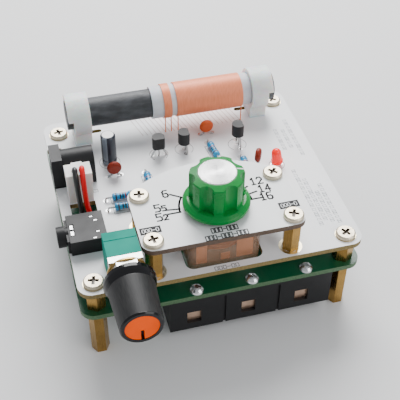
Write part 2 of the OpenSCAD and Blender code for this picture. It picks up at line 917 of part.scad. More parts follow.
module transistor_1() {
    transistor(0);
}

module transistor_2() {
    transistor(1);
}

module transistor_3() {
    transistor(2);
}

resistor_z = top_z + 1.25;

module resistors() {
    color("steelblue")
        for (r = RESISTORS)
            translate([r[0], r[1], resistor_z])
                rotate(r[2])
                    spin_right([-resistor_l / 2, 0, 0]) {
                        cylinder(d = resistor_d - 0.4, h = resistor_l);
                        for (z = [0, resistor_l - 1.5])
                            translate([0, 0, z])
                                cylinder(d = resistor_d, h = 1.5);
                    }
}

led_lean = -8;

module led() {
    color("red")
        translate([led_pos[0], led_pos[1], top_z + 1.3])
            rotate([0, led_lean, 0])
                rotate_extrude() {
                    polygon([[0, 0], [1.9, 0], [1.9, 0.8], [1.75, 0.8], [led_d / 2, 3.6], [0, 3.6]]);
                    translate([0, 3.6])
                        intersection() {
                            circle(d = led_d);
                            square(2);
                        }
                }
}

// A lead from the underside of a part at the height z, bending out to its pad
module bent_lead(from, pad, z, angle) {
    across = turned([0, 1], angle);
    tube([[from[0], from[1], z], [from[0], from[1], z - 0.4], [pad[0], pad[1], top_z + 0.3],
          [pad[0], pad[1], upper_z - 1.3]], lead_d, 8, [across[0], across[1], 0]);
}

// A lead from the end of a lying resistor, out along its axis and down through the board
module end_lead(r, side) {
    across = turned([0, 1], r[2]);
    path = [[resistor_l / 2, resistor_z], [resistor_pitch / 2 - 0.5, resistor_z],
            [resistor_pitch / 2 - 0.1, resistor_z - 0.2], [resistor_pitch / 2, resistor_z - 0.7],
            [resistor_pitch / 2, upper_z - 1.3]];
    tube([for (q = path) let (v = turned([side * q[0], 0], r[2])) [r[0] + v[0], r[1] + v[1], q[1]]],
         lead_d, 8, [across[0], across[1], 0]);
}

module component_leads() {
    color("silver") {
        for (t = TRANSISTORS, k = [-1:1])
            bent_lead([t[0], t[1]] + turned([k * 1.27, 0], t[2]),
                      [t[0], t[1]] + turned([k * 2.35, 0], t[2]), top_z + t[3], t[2]);
        for (c = DISCS, k = [-1, 1])
            bent_lead([c[0], c[1]] + turned([k * 0.8, 0], c[2]),
                      [c[0], c[1]] + turned([k * disc_pitch / 2, 0], c[2]),
                      top_z + c[3] - 2.2, c[2]);
        for (r = RESISTORS, side = [-1, 1])
            end_lead(r, side);
        for (p = LED_PADS)
            bent_lead([p[0] - 0.1, p[1]], p, top_z + 1, 0);
        for (p = CAN_PADS)
            board_pin(p);
        for (p = HEADER_PADS)
            board_pin(p, 1, top_z);
    }
}

// ---- aerial ----

module ferrite_rod() {
    color([0.22, 0.22, 0.24])
        spin_right([rod_x - rod_l / 2, rod_y, rod_z])
            cylinder(d = rod_d, h = rod_l, $fn = 64);
}

module sleeve_ring(span, inner_d, outer_d) {
    spin_right([span[0], rod_y, rod_z])
        difference() {
            cylinder(d = outer_d, h = span[1] - span[0], $fn = 64);
            translate([0, 0, -1]) cylinder(d = inner_d, h = span[1] - span[0] + 2, $fn = 64);
        }
}

module coil_sleeve() {
    color("white")
        sleeve_ring(sleeve_x, rod_d + 0.06, sleeve_d);
}

// A winding, with the fine wire of each end going straight down to the upper board
module winding(span) {
    sleeve_ring(span, sleeve_d + 0.06, winding_d);
    for (x = [span[0] + 0.3, span[1] - 0.3])
        translate([x, rod_y - 4.4, top_z])
            cylinder(d = 0.35, h = rod_axis_h - 2.9, $fn = 16);
}

module main_winding() {
    color("sandybrown")
        winding(main_x);
}

module small_winding() {
    color("sandybrown")
        winding(small_x);
}

// A bracket holds one end of the rod; side is -1 on the left and 1 on the right
module rod_bracket(side) {
    color("ghostwhite")
        translate([side * bracket_x, rod_y, 0])
            difference() {
                union() {
                    translate([-bracket_w / 2, -bracket_d / 2, top_z])
                        cube([bracket_w, bracket_d, rod_axis_h]);
                    spin_right([-bracket_w / 2, 0, rod_z])
                        cylinder(r = hood_r, h = bracket_w);
                    // brow over the end of the rod
                    intersection() {
                        spin_right([side > 0 ? 0 : -bracket_w / 2 - hood_out, 0, rod_z])
                            cylinder(r = hood_r, h = bracket_w / 2 + hood_out);
                        translate([-15, -15, rod_z + 1.5]) cube([30, 30, 20]);
                    }
                }
                spin_right([-15, 0, rod_z])
                    cylinder(d = rod_d + 0.08, h = 30, $fn = 64);
            }
}

module rod_bracket_left() {
    rod_bracket(-1);
}

module rod_bracket_right() {
    rod_bracket(1);
}

// ---- battery holder ----

module battery_holder() {
    color([0.12, 0.12, 0.12])
        difference() {
            translate([holder_x - holder_w / 2, holder_y0, lower_z - holder_h])
                cube([holder_w, holder_l, holder_h]);
            for (x = BAYS) {
                translate([x - bay_w / 2, bay_y0, lower_z - holder_h - 1])
                    cube([bay_w, bay_l, cell_z - lower_z + holder_h + 1]);
                spin_forward([x, bay_y1, cell_z]) cylinder(d = bay_w, h = bay_l);
                // slots that hold the contact plates, with their windows and pins
                spin_forward([x, bay_y1 + end_wall / 2, cell_z])
                    cylinder(d = 8.6, h = bay_l + end_wall);
                for (y = [bay_y0 - end_wall / 2, bay_y1 + end_wall / 2]) {
                    translate([x - 4.6, y - 0.3, cell_z - 4.7]) cube([9.2, 0.6, 9.2]);
                    translate([x - 3, y - 2, cell_z - 2.3]) cube([4.2, 4, 4.6]);
                    translate([x, y, cell_z]) cylinder(d = 1.1, h = 20, $fn = 24);
                }
            }
            // seams between the bays on both end walls
            for (s = [-1, 1], y = [holder_y0, holder_y0 + holder_l])
                translate([holder_x + s * cell_pitch / 2 - 0.4, y - 0.5, lower_z - holder_h - 1])
                    cube([0.8, 1, holder_h - 1]);
        }
}

module contact_plate(x, y) {
    translate([x - 4.5, y - 0.2, cell_z - 4.6]) cube([9, 0.4, 9]);
    translate([x, y, cell_z + 4]) cylinder(d = 1, h = lower_top + 1 - cell_z - 4, $fn = 24);
}

module battery_contacts() {
    front = bay_y0 - end_wall / 2;
    rear = bay_y1 + end_wall / 2;
    color("silver")
        for (i = [0:2]) {
            contact_plate(BAYS[i], front);
            contact_plate(BAYS[i], rear);
            // raised button for the cell's cap, at alternate ends
            if (i == 1)
                spin_forward([BAYS[i], rear, cell_z]) cylinder(d = 5, h = end_wall / 2 + 0.3);
            else
                spin_forward([BAYS[i], bay_y0 + 0.3, cell_z]) cylinder(d = 5, h = end_wall / 2 + 0.3);
        }
}

spring_l = 4.2;
spring_turns = 3.5;
function coil_spring(x, y, dir) =
    [for (i = [0:spring_turns * 10])
        let (a = 36 * i, r = 3.3 - i / 30)
            [x + r * cos(a), y + dir * (0.55 + spring_l * i / 10 / spring_turns), cell_z + r * sin(a)]];

module battery_springs() {
    color("silver")
        for (i = [0:2]) {
            y = i == 1 ? bay_y0 - end_wall / 2 : bay_y1 + end_wall / 2;
            tube(coil_spring(BAYS[i], y, i == 1 ? 1 : -1), 0.7, 6, [0, 1, 0]);
        }
}

module solder_joints() {
    color("lightgray") {
        for (p = BATTERY_PINS)
            translate([p[0], p[1], lower_top])
                difference() {
                    rotate_extrude()
                        polygon([[0, 0], [2.1, 0], [1.9, 0.5], [1.3, 1.1], [0.7, 1.4], [0, 1.5]]);
                    translate([0, 0, -1]) cylinder(d = 1.06, h = 2.05, $fn = 24);
                }
        for (p = WIRE_PADS)
            translate([p[0], p[1], lower_top])
                cylinder(d1 = 3, d2 = 1.8, h = 0.9);
    }
}

lower_board();
upper_board();
dial_plate();
legs();
board_spacers();
board_screws();
dial_posts();
dial_post_screws();
dial_screws();
tuner_case();
tuner_fixed_plates();
tuner_moving_plates();
tuner_shaft();
tuner_contact_strips();
tuner_trimmer_left();
tuner_trimmer_right();
tuner_screws();
tuning_knob();
tuning_knob_cap();
tuning_knob_screw();
pot_body();
pot_track();
pot_wiper();
pot_cover();
pot_bush();
pot_washer();
pot_nut();
pot_shaft();
pot_pins();
volume_knob();
volume_knob_cap();
audio_jack_body();
audio_jack_contacts();
dc_jack_body();
dc_jack_pin();
dc_jack_contacts();
battery_header();
battery_plug();
black_wire();
red_wire();
electrolytic_capacitor();
disc_capacitor_1();
disc_capacitor_2();
disc_capacitor_3();
transistor_1();
transistor_2();
transistor_3();
resistors();
led();
component_leads();
ferrite_rod();
coil_sleeve();
main_winding();
small_winding();
rod_bracket_left();
rod_bracket_right();
battery_holder();
battery_contacts();
battery_springs();
solder_joints();
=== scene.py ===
# %% [markdown]
# # A medium-wave radio kit on stacked boards
# The radio's frame comes from its packed CAD model, and every CAD piece stays where it is.
# These cells add what CAD leaves out: finishes, printed marks, soft wires and small parts.
# Everything is in metres, with +Z up and the volume knob pointing along -Y.

import json
import math

import bmesh
import bpy
from mathutils import Matrix, Vector

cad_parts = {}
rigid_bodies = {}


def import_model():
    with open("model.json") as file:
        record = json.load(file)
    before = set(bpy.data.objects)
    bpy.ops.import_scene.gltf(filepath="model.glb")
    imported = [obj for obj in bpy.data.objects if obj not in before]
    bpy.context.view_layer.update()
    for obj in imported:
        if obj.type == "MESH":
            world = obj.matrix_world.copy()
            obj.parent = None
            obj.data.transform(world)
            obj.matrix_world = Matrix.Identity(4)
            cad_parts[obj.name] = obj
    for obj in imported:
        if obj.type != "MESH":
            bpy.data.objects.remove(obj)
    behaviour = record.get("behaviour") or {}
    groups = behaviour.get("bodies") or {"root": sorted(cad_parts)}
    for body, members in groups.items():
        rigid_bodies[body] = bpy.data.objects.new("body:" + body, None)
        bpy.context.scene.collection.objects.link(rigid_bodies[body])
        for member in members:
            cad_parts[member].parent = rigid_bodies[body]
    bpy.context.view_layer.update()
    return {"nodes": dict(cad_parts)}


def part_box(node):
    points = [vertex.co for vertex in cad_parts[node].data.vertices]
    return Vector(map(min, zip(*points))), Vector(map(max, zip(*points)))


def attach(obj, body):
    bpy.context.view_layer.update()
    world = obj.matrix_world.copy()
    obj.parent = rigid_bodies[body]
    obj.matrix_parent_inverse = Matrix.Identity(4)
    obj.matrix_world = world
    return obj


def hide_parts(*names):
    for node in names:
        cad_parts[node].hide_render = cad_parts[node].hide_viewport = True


bpy.ops.object.select_all(action="SELECT")
bpy.ops.object.delete()
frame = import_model()
nodes = frame["nodes"]
MM = 0.001
# millimetres from the middle: the legs, and the posts that carry the dial plate
LEG_X, LEG_Y = 36.4, 33
POST_X, POST_MIDDLE_Y, POST_HALF_Y = 19.6, -24.2, 9

# %% [markdown]
# ## Camera
# A long lens from the front left, looking down at about 43 degrees. The three axes of the
# camera are its right, its up and its backward direction, and they make a rotation matrix.

# %% Camera
right = Vector((0.96544, -0.26053, 0.00767))
up = Vector((0.17198, 0.65886, 0.73235))
back = Vector((-0.19585, -0.70572, 0.68089))
lens = bpy.data.cameras.new("lens")
lens.lens, lens.sensor_width = 75.5, 36.0
lens.clip_start, lens.clip_end = 0.01, 20.0
camera = bpy.data.objects.new("camera", lens)
turn = Matrix((right, up, back)).transposed().to_4x4()
camera.matrix_world = Matrix.Translation(Vector((-49.14, -185.14, 197.65)) * MM) @ turn
bpy.context.scene.collection.objects.link(camera)
bpy.context.scene.camera = camera
print("camera stands", round(camera.location.length, 3), "m away")

# %% [markdown]
# ## Meshes from points
# Most small parts here are one of three shapes: a plate cut from sheet, a turned part, or a
# wire. Each has one helper that gives a closed mesh.


# %% Mesh helpers
def as_object(name, points, faces, body="chassis", smooth=True):
    mesh = bpy.data.meshes.new(name)
    mesh.from_pydata([tuple(p) for p in points], [], faces)
    mesh.update()
    solid = bmesh.new()
    solid.from_mesh(mesh)
    bmesh.ops.recalc_face_normals(solid, faces=solid.faces)
    solid.to_mesh(mesh)
    solid.free()
    for face in mesh.polygons:
        face.use_smooth = smooth
    made = bpy.data.objects.new(name, mesh)
    bpy.context.scene.collection.objects.link(made)
    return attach(made, body)


def plates(name, outlines, low, high, body="chassis"):
    """Prisms between two heights, one for each closed outline. All in millimetres."""
    points, faces = [], []
    for line in outlines:
        start, n = len(points), len(line)
        points += [Vector((x, y, z)) * MM for z in (low, high) for x, y in line]
        faces.append([start + i for i in range(n)])
        faces.append([start + n + i for i in range(n)])
        faces += [[start + i, start + (i + 1) % n, start + n + (i + 1) % n, start + n + i]
                  for i in range(n)]
    return as_object(name, points, faces, body, smooth=False)


def ring_frame(way):
    """Two directions square to way and to each other."""
    side = way.orthogonal().normalized()
    return side, way.cross(side).normalized()


def turned(name, profile, foot, way, body="chassis", around=48):
    """A turned part: profile lists (radius, height) in millimetres from foot along way."""
    way, foot = Vector(way).normalized(), Vector(foot)
    side, other = ring_frame(way)
    points, faces = [], []
    for r, h in profile:
        for k in range(around):
            a = 2 * math.pi * k / around
            points.append((foot + way * h + (side * math.cos(a) + other * math.sin(a)) * r) * MM)
    for i in range(len(profile) - 1):
        for k in range(around):
            m = (k + 1) % around
            faces.append([i * around + k, i * around + m,
                          (i + 1) * around + m, (i + 1) * around + k])
    faces.append(list(range(around)))
    faces.append([(len(profile) - 1) * around + k for k in range(around)])
    return as_object(name, points, faces, body)


def wire(name, path, width, body="chassis", around=12):
    """A round wire along a path of points in metres, with its frame carried along."""
    points, faces = [], []
    way = (path[1] - path[0]).normalized()
    side, _ = ring_frame(way)
    for i, p in enumerate(path):
        way = (path[min(i + 1, len(path) - 1)] - path[max(i - 1, 0)]).normalized()
        side = (side - way * side.dot(way)).normalized()
        other = way.cross(side)
        for k in range(around):
            a = 2 * math.pi * k / around
            points.append(p + (side * math.cos(a) + other * math.sin(a)) * width / 2)
    for i in range(len(path) - 1):
        for k in range(around):
            m = (k + 1) % around
            faces.append([i * around + k, i * around + m,
                          (i + 1) * around + m, (i + 1) * around + k])
    faces.append(list(range(around)))
    faces.append([(len(path) - 1) * around + k for k in range(around)])
    return as_object(name, points, faces, body)


def smooth_path(points, steps=4):
    """A smooth curve through given points, in metres."""
    p = [Vector(q) * MM for q in points]
    p = [p[0] * 2 - p[1], *p, p[-1] * 2 - p[-2]]
    line = []
    for i in range(1, len(p) - 2):
        for s in range(steps):
            t = s / steps
            line.append(0.5 * (2 * p[i] + (p[i + 1] - p[i - 1]) * t
                        + (2 * p[i - 1] - 5 * p[i] + 4 * p[i + 1] - p[i + 2]) * t * t
                        + (3 * p[i] - p[i - 1] - 3 * p[i + 1] + p[i + 2]) * t ** 3))
    return [*line, p[-2]]


def run_of(path):
    return sum((b - a).length for a, b in zip(path, path[1:]))


print("helpers ready")

# %% [markdown] ## The battery wires Two soft wires leave the plug, bend forward over its
# edge and drop through a slot to the lower board, where they are soldered.

# %% Battery wires
BLACK = [(-35.2, 1.4, 35.5), (-35.2, 1.4, 38), (-35.25, 0.2, 39.4), (-35.3, -1.4, 38.6),
         (-35.3, -2.6, 36), (-35.2, -3.4, 32.4), (-35, -4.2, 28.6), (-34.7, -5, 25),
         (-33.4, -6.4, 22.2), (-31, -7.8, 21), (-27.6, -8.4, 21), (-24.4, -8.4, 21.2),
         (-23, -8.4, 20.6), (-23, -8.4, 19.6)]
RED = [(-33.1, 1.4, 35.5), (-33.1, 1.4, 38), (-33.15, 0.2, 39.6), (-33.3, -1.8, 38.4),
       (-33.35, -3, 35.4), (-33.3, -3.8, 31.8), (-33.1, -4.6, 28.6), (-32.5, -5.8, 26.2),
       (-31.2, -6.4, 24.4), (-29.4, -5.8, 23.4), (-26.4, -4.2, 22.6), (-24.2, -3.6, 21.8),
       (-23, -3.6, 20.8), (-23, -3.6, 19.6)]
battery_wires = []
for name, route in (("black_wire", BLACK), ("red_wire", RED)):
    path = smooth_path(route)
    piece = wire("soft_" + name, path, 1.6 * MM)
    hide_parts(name)
    round(run_of(path), 4)
    battery_wires.append(piece)
    print(name, "is", round(run_of(path) / MM, 1), "mm long")

# %% [markdown]
# ## Sums on materials
# A finish is a small graph of nodes. Writing it as sums keeps it readable: Wire wraps one
# output, and every operator adds a Math node. The reflected forms let 1 - mask work too.


# %% Wires that can be added up
class Wire:
    def __init__(self, socket):
        self.socket = socket

    def math(self, operation, a, b=0.0):
        node = self.socket.id_data.nodes.new("ShaderNodeMath")
        node.operation = operation
        for slot, value in zip(node.inputs, (a, b)):
            plug(slot, value)
        return Wire(node.outputs[0])

    def __add__(self, other):
        return self.math("ADD", self, other)

    def __sub__(self, other):
        return self.math("SUBTRACT", self, other)

    def __rsub__(self, other):
        return self.math("SUBTRACT", other, self)

    def __mul__(self, other):
        return self.math("MULTIPLY", self, other)

    def __pow__(self, other):
        return self.math("POWER", self, other)

    def __gt__(self, other):
        return self.math("GREATER_THAN", self, other)

    def __lt__(self, other):
        return self.math("LESS_THAN", self, other)

    __radd__, __rmul__ = __add__, __mul__


def plug(slot, value):
    if isinstance(value, Wire):
        slot.id_data.links.new(value.socket, slot)
    elif isinstance(value, tuple) and len(value) == 3 and slot.type == "RGBA":
        slot.default_value = (*value, 1.0)
    else:
        slot.default_value = value


print("Wire has", sum(n.startswith("__") for n in vars(Wire)), "special methods")


# %% [markdown]
# A Finish is one material. Its node method makes any other kind of node: the settings are
# set first, and then the sockets take numbers, colours or other wires.


# %% One class for a finish
class Finish:
    def __init__(self, name, colour, rough, metal=0.0, **fixed):
        self.material = bpy.data.materials.new(name)
        self.material.use_nodes = True
        self.tree = self.material.node_tree
        self.shader = self.tree.nodes["Principled BSDF"]
        self.set(**{"Base Color": colour, "Roughness": rough, "Metallic": metal})
        for key, value in fixed.items():
            self.shader.inputs[key.replace("_", " ")].default_value = value

    def set(self, **sockets):
        for key, value in sockets.items():
            plug(self.shader.inputs[key], value)
        return self

    def node(self, kind, settings=None, inputs=None, out=0):
        made = self.tree.nodes.new("ShaderNode" + kind)
        for key, value in (settings or {}).items():
            setattr(made, key, value)
        for key, value in (inputs or {}).items():
            plug(made.inputs[key], value)
        return Wire(made.outputs[out])

    def now(self, key):
        """Whatever already feeds a socket, so that one more layer can go over it."""
        return Wire(self.shader.inputs[key].links[0].from_socket)

    def place(self):
        return self.node("TexCoord", out="Object")

    def axis(self, which, vector=None):
        return self.node("SeparateXYZ", inputs={0: vector or self.place()}, out="XYZ".index(which))

    def noise(self, size, detail=3.0, stretch=(1.0, 1.0, 1.0)):
        """Soft blotches about size metres across, from 0 to 1."""
        scaled = self.node("VectorMath", {"operation": "MULTIPLY"},
                           {0: self.place(), 1: tuple(s / size for s in stretch)})
        return self.node("TexNoise", None, {"Vector": scaled, "Scale": 1.0, "Detail": detail})

    def blend(self, mask, low, high):
        """A colour between low and high."""
        return self.node("Mix", {"data_type": "RGBA"}, {0: mask, 6: low, 7: high}, out=2)

    def range(self, value, low, high, to_low=0.0, to_high=1.0):
        return self.node("MapRange", None, {0: value, 1: low, 2: high, 3: to_low, 4: to_high})

    def bump(self, height, depth, strength=1.0):
        raised = self.node("Bump", None, {"Height": height, "Distance": depth, "Strength": strength})
        return self.set(Normal=raised)

    def edges(self):
        """1 on upright faces and 0 on flat ones."""
        normal = self.node("NewGeometry", out="Normal")
        return 1.0 - self.range(self.node("Math", {"operation": "ABSOLUTE"},
                                          {0: self.axis("Z", normal)}), 0.4, 0.6)

    def on(self, *things):
        for thing in things:
            target = nodes[thing] if isinstance(thing, str) else thing
            target.data.materials.clear()
            target.data.materials.append(self.material)
            for face in target.data.polygons:
                face.material_index = 0
        return self


print("a finish can be worn by a CAD node or a new piece")

# %% [markdown]
# ## Circuit boards
# A circuit board is glass-cloth laminate under a thin printed coat. The coat is glossy and
# a little wavy, and the cut edge shows the laminate: tan on the upper board, brown on the
# dial plate and green on the lower board. One mask splits the two: it reads the direction
# of the surface, so no edge has to be selected by hand.


# %% Boards
def board_finish(name, coat, edge, rough):
    f = Finish(name, coat, rough, IOR=1.5)
    cloth, waves = f.noise(0.0006, 2.0), f.noise(0.012, 2.0)
    tint = f.blend(f.range(waves, 0.3, 0.7), coat, tuple(c * 0.94 for c in coat))
    side = f.blend(f.range(cloth, 0.3, 0.7), edge, tuple(c * 0.6 for c in edge))
    cut = f.edges()
    f.set(**{"Base Color": f.blend(cut, tint, side), "Roughness": rough + cut * 0.3 + cloth * 0.06})
    return f.bump(cloth * 0.4 + waves, 0.00004, 0.35)


white_coat = board_finish("white_board_coat", (0.80, 0.81, 0.82), (0.24, 0.17, 0.05), 0.34)
white_coat.on("upper_board")
dial_coat = board_finish("dial_plate_coat", (0.78, 0.79, 0.80), (0.12, 0.075, 0.05), 0.34)
dial_coat.on("dial_plate")
green_coat = board_finish("green_board_coat", (0.0, 0.075, 0.028), (0.07, 0.15, 0.065), 0.28)
green_coat.on("lower_board")
print("boards:", white_coat.material.name, green_coat.material.name)

# %% [markdown]
# ## Metals
# Plated screws are dull and warm, with fine scratches. The cross recesses of the board and
# dial screws get painted shade, dark brown and without metal shine: a mask finds each recess
# from its distance to the screw's axis and its depth below the head. Brass legs are cut from
# hexagonal bar, so they carry fine marks along their length.


# %% Metals
def metal_finish(name, colour, rough, grain=(1.0, 1.0, 1.0), wear=0.25):
    f = Finish(name, colour, rough, 1.0)
    lines, patches = f.noise(0.0005, 4.0, grain), f.noise(0.004, 3.0)
    worn = tuple(c * (1 - wear) for c in colour)
    f.set(**{"Base Color": f.blend(f.range(patches, 0.35, 0.75), colour, worn),
             "Roughness": f.range(lines, 0.2, 0.8, rough - 0.08, rough + 0.12)})
    return f.bump(lines, 0.00001, 0.5)


brass = metal_finish("hex_bar_brass", (0.40, 0.235, 0.065), 0.26, (1.0, 1.0, 0.06))
brass.on("legs", "board_spacers", "dial_posts", "tuner_trimmer_left", "tuner_trimmer_right")
washer_brass = metal_finish("washer_brass", (0.55, 0.36, 0.13), 0.34)
washer_brass.on("pot_washer", "pot_wiper")
nickel = metal_finish("nickel_plate", (0.68, 0.60, 0.46), 0.42, wear=0.1)
x, y, z = (nickel.axis(a) for a in "XYZ")


def size_of(value):
    return nickel.node("Math", {"operation": "ABSOLUTE"}, {0: value})


RECESS_R, RECESS_LIP, RECESS_FLOOR = 1.75 * MM, 0.1 * MM, 1.3 * MM
painted_recess_shade = 0.0
for name, screw_x, middle_y, screw_y in (("board_screws", LEG_X, 0, LEG_Y),
                                         ("dial_screws", POST_X, POST_MIDDLE_Y, POST_HALF_Y)):
    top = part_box(name)[1].z
    off_x, off_y = size_of(x) - screw_x * MM, size_of(y - middle_y * MM) - screw_y * MM
    away = (off_x ** 2.0 + off_y ** 2.0) ** 0.5
    painted_recess_shade = painted_recess_shade + (away < RECESS_R) * (z < top - RECESS_LIP) * (z > top - RECESS_FLOOR)
# painted shade in the cross recesses: dark brown colour, and no metal shine there
nickel.set(**{"Base Color": nickel.blend(painted_recess_shade, nickel.now("Base Color"), (0.085, 0.062, 0.042)),
              "Metallic": 1.0 - painted_recess_shade})
nickel.on("board_screws", "dial_screws", "dial_post_screws", "tuner_screws", "tuning_knob_screw")
zinc = metal_finish("zinc_plate", (0.62, 0.62, 0.60), 0.28, wear=0.15)
zinc.on("pot_cover", "pot_nut", "pot_bush", "pot_shaft", "tuner_shaft")
tin = metal_finish("tinned_wire", (0.62, 0.62, 0.62), 0.3)
tin.on("component_leads", "pot_pins", "audio_jack_contacts", "dc_jack_pin", "dc_jack_contacts",
       "battery_springs")
warm_tin = metal_finish("warm_contact_plate", (0.80, 0.55, 0.40), 0.34)
warm_tin.on("battery_contacts")
solder = metal_finish("solder_dome", (0.70, 0.71, 0.72), 0.16, wear=0.3)
solder.on("solder_joints")
copper = metal_finish("copper_sheet", (0.90, 0.36, 0.15), 0.4)
copper.set(Metallic=0.55)
copper.on("tuner_fixed_plates", "tuner_moving_plates", "tuner_contact_strips")
print("metals done")

# %% [markdown]
# ## Plastics
# Moulded plastic is never one flat colour. A fine grain in the mould breaks up the gloss,
# and broad, faint clouds come from handling.


# %% Plastics
def plastic_finish(name, colour, rough, grain=0.0003, depth=0.00001, **fixed):
    f = Finish(name, colour, rough, **fixed)
    fine, broad = f.noise(grain, 3.0), f.noise(0.006, 3.0)
    f.set(**{"Base Color": f.blend(f.range(broad, 0.3, 0.7), colour, tuple(c * 0.86 for c in colour)),
             "Roughness": f.range(broad, 0.2, 0.8, rough - 0.05, rough + 0.08)})
    return f.bump(fine, depth, 0.6)


knob_green = plastic_finish("green_knob_plastic", (0.0, 0.23, 0.037), 0.24, depth=0.000004,
                            Specular_IOR_Level=0.25,
                            Subsurface_Weight=0.15, Subsurface_Scale=0.002)
knob_green.on("tuning_knob")
teal = plastic_finish("teal_plastic", (0.0, 0.27, 0.20), 0.6, Specular_IOR_Level=0.1)
teal.on("pot_body")
black_plastic = plastic_finish("black_plastic", (0.008, 0.008, 0.009), 0.45, depth=0.00002,
                               Specular_IOR_Level=0.3)
black_plastic.on("audio_jack_body", "dc_jack_body", "battery_holder")
epoxy = plastic_finish("transistor_epoxy", (0.014, 0.014, 0.015), 0.5, depth=0.00002,
                       Specular_IOR_Level=0.3)
epoxy.on("transistor_1", "transistor_2", "transistor_3")
carbon = plastic_finish("carbon_film", (0.012, 0.012, 0.012), 0.6)
carbon.on("pot_track")
nylon = plastic_finish("white_nylon", (0.86, 0.86, 0.85), 0.42, grain=0.0028, depth=0.00045,
                       Subsurface_Weight=0.7, Subsurface_Scale=0.006)
nylon.on("rod_bracket_left", "rod_bracket_right")
plug_white = plastic_finish("plug_plastic", (0.80, 0.78, 0.74), 0.4, Subsurface_Weight=0.2,
                            Subsurface_Scale=0.002)
plug_white.on("battery_header", "battery_plug")
orange = plastic_finish("orange_plastic", (1.0, 0.10, 0.0), 0.5, Specular_IOR_Level=0.06)
orange.on("volume_knob_cap")
red_clay = plastic_finish("dipped_ceramic", (0.25, 0.020, 0.005), 0.4, Specular_IOR_Level=0.3,
                          grain=0.0006, depth=0.00003)
freckle = red_clay.range(red_clay.noise(0.0004, 2.0), 0.58, 0.68)
red_clay.set(**{"Base Color": red_clay.blend(freckle, red_clay.now("Base Color"), (0.09, 0.012, 0.006))})
red_clay.on("disc_capacitor_1", "disc_capacitor_3")
orange_clay = plastic_finish("orange_dipped_ceramic", (0.62, 0.085, 0.012), 0.4, Specular_IOR_Level=0.3,
                             grain=0.0006, depth=0.00003)
orange_clay.on("disc_capacitor_2")
red_lens = plastic_finish("red_lens", (1.0, 0.010, 0.0), 0.14, Subsurface_Weight=0.4,
                          Subsurface_Scale=0.002, Emission_Strength=0.5)
red_lens.set(**{"Emission Color": (0.9, 0.02, 0.01)}).on("led")
black_rubber = plastic_finish("black_insulation", (0.012, 0.012, 0.012), 0.36)
red_rubber = plastic_finish("red_insulation", (0.72, 0.002, 0.006), 0.34, Specular_IOR_Level=0.3)
black_rubber.on(battery_wires[0])
red_rubber.on(battery_wires[1])
print("plastics done")

# %% [markdown]
# The volume knob is one moulding with two finishes: a polished skirt and a body blasted
# matte, with a polished rim in front. Each step lies at one place along the knob, so masks
# on Y make them.

# %% Volume knob
knob_low, knob_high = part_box("volume_knob")
knob_black = Finish("volume_knob_black", (0.02, 0.02, 0.02), 0.45, Specular_IOR_Level=0.3)
along = knob_black.axis("Y")
skirt_end, rim_end = knob_high.y - 3.4 * MM, knob_low.y + 0.5 * MM
skirt = knob_black.range(along, skirt_end - 0.2 * MM, skirt_end + 0.2 * MM)
rim = along < rim_end
polished = skirt + rim
grain = knob_black.noise(0.0003, 3.0, (1.0, 0.1, 1.0))
body = knob_black.blend(knob_black.range(grain, 0.35, 0.65), (0.009, 0.009, 0.010), (0.018, 0.018, 0.018))
knob_black.set(**{"Base Color": knob_black.blend(polished, body, (0.004, 0.004, 0.005)),
                  "Roughness": 0.52 - polished * 0.40 + grain * 0.05})
knob_black.bump(grain * (1.0 - polished), 0.00004, 0.5).on("volume_knob")
print("skirt ends at y =", round(skirt_end / MM, 1), "mm")

# %% [markdown]
# The metal cap of the tuning knob is spun on a lathe. Its fine rings turn every light into
# bright fans. A sine of the distance from the shaft makes the rings, and a cosine of twice
# the angle round it paints two bright fans into the colour: a painted highlight.

# %% Spun cap
cap_low, cap_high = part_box("tuning_knob_cap")
shaft_x, shaft_y = (cap_low.x + cap_high.x) / 2, (cap_low.y + cap_high.y) / 2
RING_STEP = 0.22 * MM
spun = Finish("spun_aluminium", (0.80, 0.80, 0.79), 0.2, 1.0)
reach = ((spun.axis("X") - shaft_x) ** 2.0 + (spun.axis("Y") - shaft_y) ** 2.0) ** 0.5
rings = spun.node("Math", {"operation": "SINE"}, {0: reach * (2 * math.pi / RING_STEP)})
scratch = spun.node("TexNoise", None, {"Vector": spun.node("CombineXYZ", None, {0: reach}),
                                       "Scale": 9000.0, "Detail": 2.0})
turn = spun.node("Math", {"operation": "ARCTAN2"},
                 {0: spun.axis("Y") - shaft_y, 1: spun.axis("X") - shaft_x})
# painted highlight: two bright fans painted into the base colour by the angle round the shaft
painted_highlight_fans = spun.node("Math", {"operation": "COSINE"}, {0: turn * 2.0 - 0.7}) * 0.5 + 0.5
spun.set(**{"Base Color": spun.blend(painted_highlight_fans ** 3.0, (0.60, 0.60, 0.60), (0.90, 0.90, 0.89)),
            "Roughness": spun.range(scratch, 0.2, 0.8, 0.16, 0.34)})
spun.bump(rings * 0.5 + scratch, 0.00006, 0.6).on("tuning_knob_cap")
print("knob axis at", round(shaft_x / MM, 2), round(shaft_y / MM, 2))

# %% [markdown]
# ## The clear tuner case
# Thin clear plastic shows what is inside, takes on its copper tint, and reflects at a
# slant. The surface is mostly open when seen straight on and more solid at a slant, which
# lets light reach the plates within.

# %% Clear case
clear = Finish("clear_case", (0.42, 0.24, 0.15), 0.06, IOR=1.5, Specular_IOR_Level=0.5)
slant = clear.node("LayerWeight", None, {"Blend": 0.35}, out="Facing")
haze = clear.noise(0.005, 2.0)
clear.set(Alpha=0.20 + slant * 0.25 + haze * 0.05, Roughness=clear.range(haze, 0.3, 0.7, 0.05, 0.16))
clear.on("tuner_case")
print("case alpha runs from 0.20 to 0.50")
